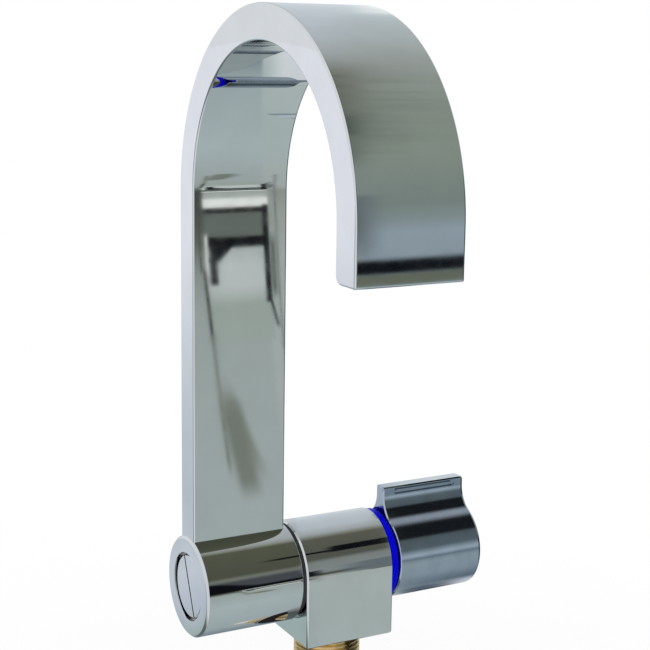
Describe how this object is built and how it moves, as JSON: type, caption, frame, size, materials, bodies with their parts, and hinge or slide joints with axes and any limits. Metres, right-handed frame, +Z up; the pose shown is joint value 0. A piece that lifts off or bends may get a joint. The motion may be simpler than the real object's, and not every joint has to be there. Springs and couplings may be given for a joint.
{
  "type": "folding caravan tap",
  "caption": "Folding caravan cold tap: flat arched spout on a level pivot barrel, square block body, finned quarter-turn knob and threaded shank.",
  "frame": {"origin": "where the shank's axis meets the worktop, at the centre of the block's underside", "axes": "+Z up out of the worktop, +X along the pivot axis towards the knob, and the spout arches towards -Y"},
  "size_m": [0.101, 0.1194, 0.2698],
  "materials": {
    "polished_chrome": "polished chrome plate",
    "knob_chrome": "darker satin chrome plate",
    "blue_plastic": "glossy moulded blue",
    "brass": "turned",
    "steel": "zinc plated",
    "rubber": "moulded, matt",
    "white_plastic": "moulded",
    "black_plastic": "moulded",
    "ceramic": "lapped"
  },
  "bodies": {
    "body": {"body_block": "polished_chrome", "foot_seal": "rubber", "threaded_shank": "brass", "rubber_washer": "rubber", "clamp_washer": "steel", "backnut": "brass", "inlet_tail": "white_plastic", "tail_o_ring": "rubber", "cable_grommet": "rubber", "pivot_spigot": "brass", "spigot_o_rings": "rubber", "thrust_washer": "black_plastic", "retaining_screw": "polished_chrome", "friction_washer": "white_plastic", "cold_ring": "blue_plastic", "cartridge_body": "brass", "cartridge_seal": "rubber", "fixed_disc": "ceramic", "cartridge_nut": "brass", "switch_case": "black_plastic", "switch_terminals": "brass"},
    "spout": {"spout": "polished_chrome", "spout_bushes": "white_plastic", "outlet_insert": "black_plastic", "outlet_seal": "rubber"},
    "knob": {"knob": "knob_chrome", "knob_grub_screw": "steel", "spindle": "brass", "spindle_o_ring": "rubber", "rotating_disc": "ceramic", "switch_cam": "white_plastic"},
    "plunger": {"switch_plunger": "white_plastic"}
  },
  "joints": [
    {"name": "spout_fold", "type": "hinge", "parent": "body", "child": "spout", "pos_m": [-0.0332, 0, 0.0216], "axis": [1, 0, 0], "range_deg": [0, 90]},
    {"name": "knob_turn", "type": "hinge", "parent": "body", "child": "knob", "pos_m": [0.0355, 0, 0.0216], "axis": [1, 0, 0], "range_deg": [0, 90]},
    {"name": "plunger_press", "type": "slide", "parent": "body", "child": "plunger", "axis": [0, 0, -1], "range_m": [0, 0.001]}
  ],
  "couplings": [
    {"joint": "plunger_press", "follows": "knob_turn", "m_per_rad": 0.0006366}
  ]
}
